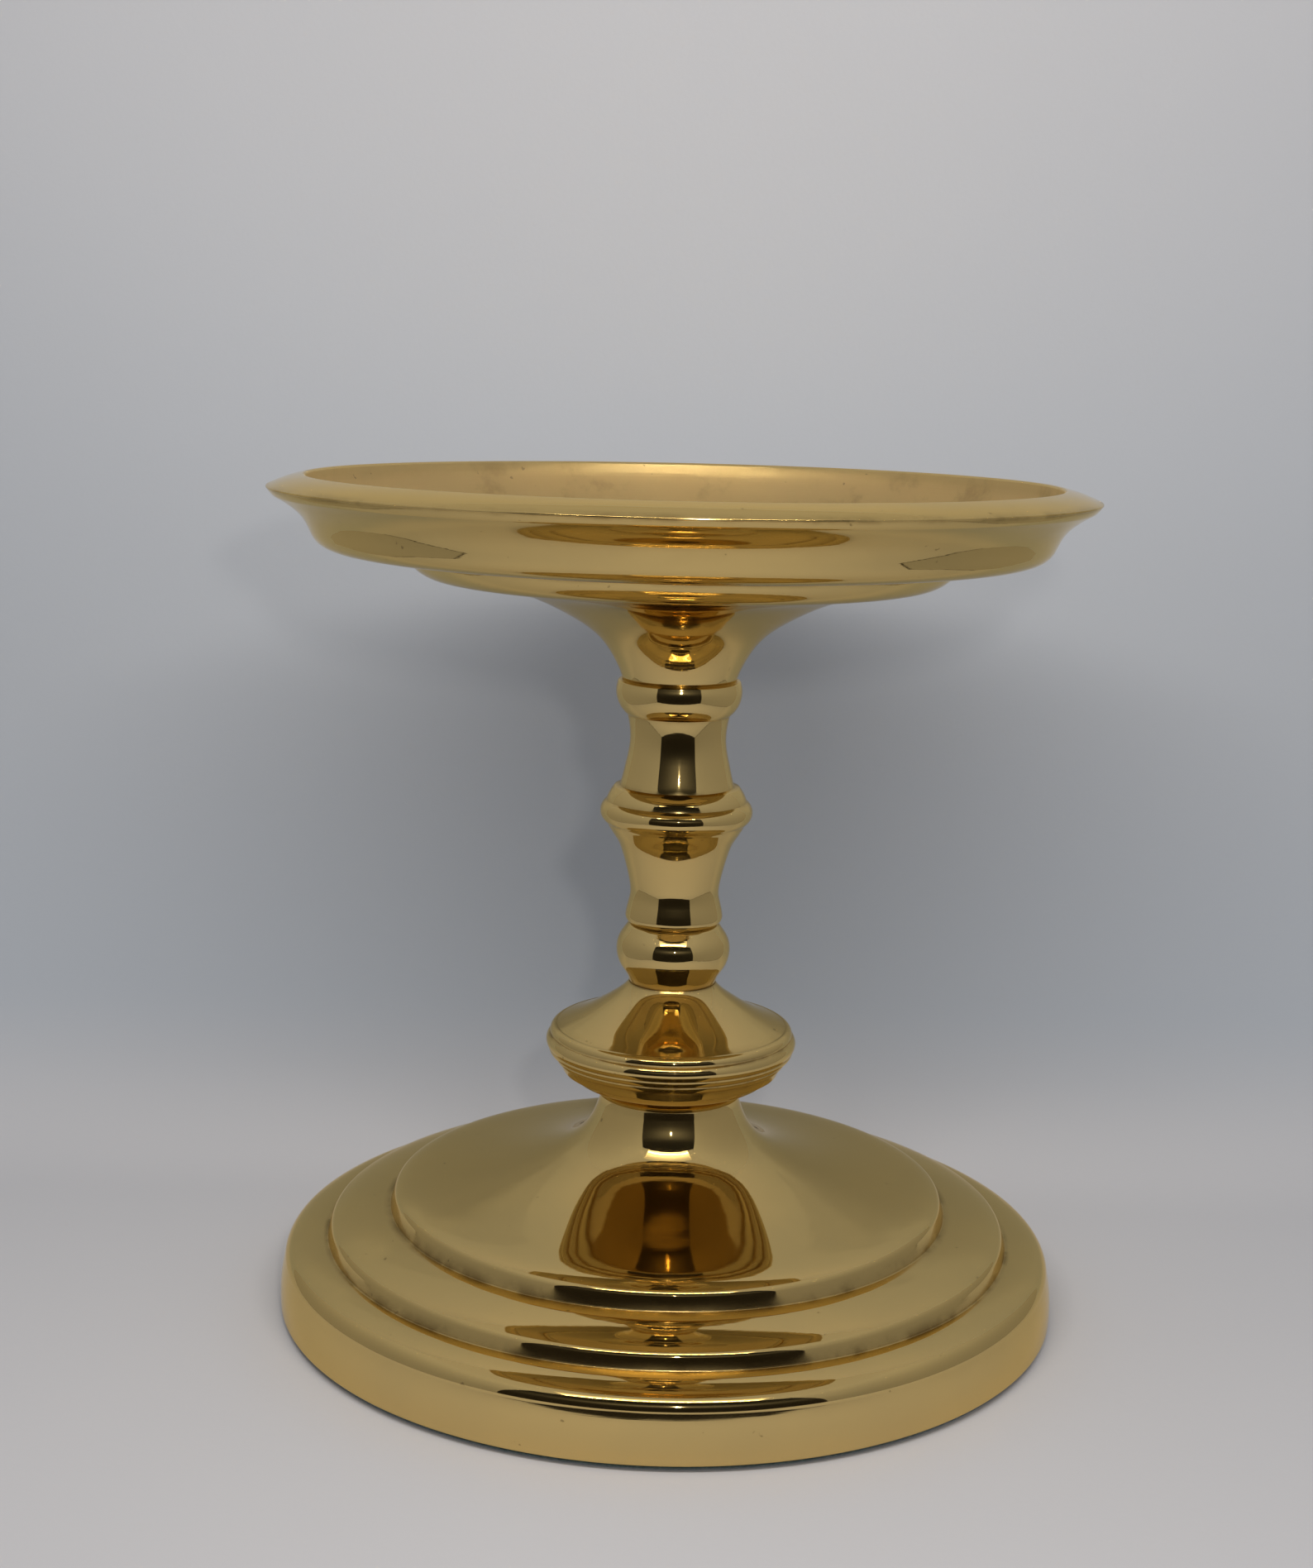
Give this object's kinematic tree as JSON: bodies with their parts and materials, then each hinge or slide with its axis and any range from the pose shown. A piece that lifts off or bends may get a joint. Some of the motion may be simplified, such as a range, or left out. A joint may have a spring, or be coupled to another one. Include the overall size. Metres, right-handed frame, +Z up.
{
  "type": "pillar candle holder",
  "caption": "Turned brass pillar candle holder: broad stepped foot, baluster stem with knop and collar, and a wide shallow dish, clamped on one rod over a felt pad.",
  "frame": {"origin": "centre of the felt pad's underside, on the surface the holder stands on", "axes": "+Z up along the axis every brass piece is turned about; X and Y lie in the table top and are interchangeable"},
  "size_m": [0.127, 0.127, 0.1325],
  "materials": {
    "brass": "polished and lacquered, satin inside the dish",
    "steel": "zinc plated",
    "felt": "dark green felt, pressed"
  },
  "bodies": {
    "column": {"felt_pad": "felt", "base": "brass", "knop": "brass", "ball_collar": "brass", "stem": "brass", "tie_rod": "steel", "flat_washer": "steel", "spring_washer": "steel", "hex_nut": "steel"},
    "dish": {"candle_dish": "brass"}
  },
  "joints": [
    {"name": "dish_lift", "type": "slide", "parent": "column", "child": "dish", "axis": [0, 0, 1], "range_m": [0, 0.014]}
  ]
}
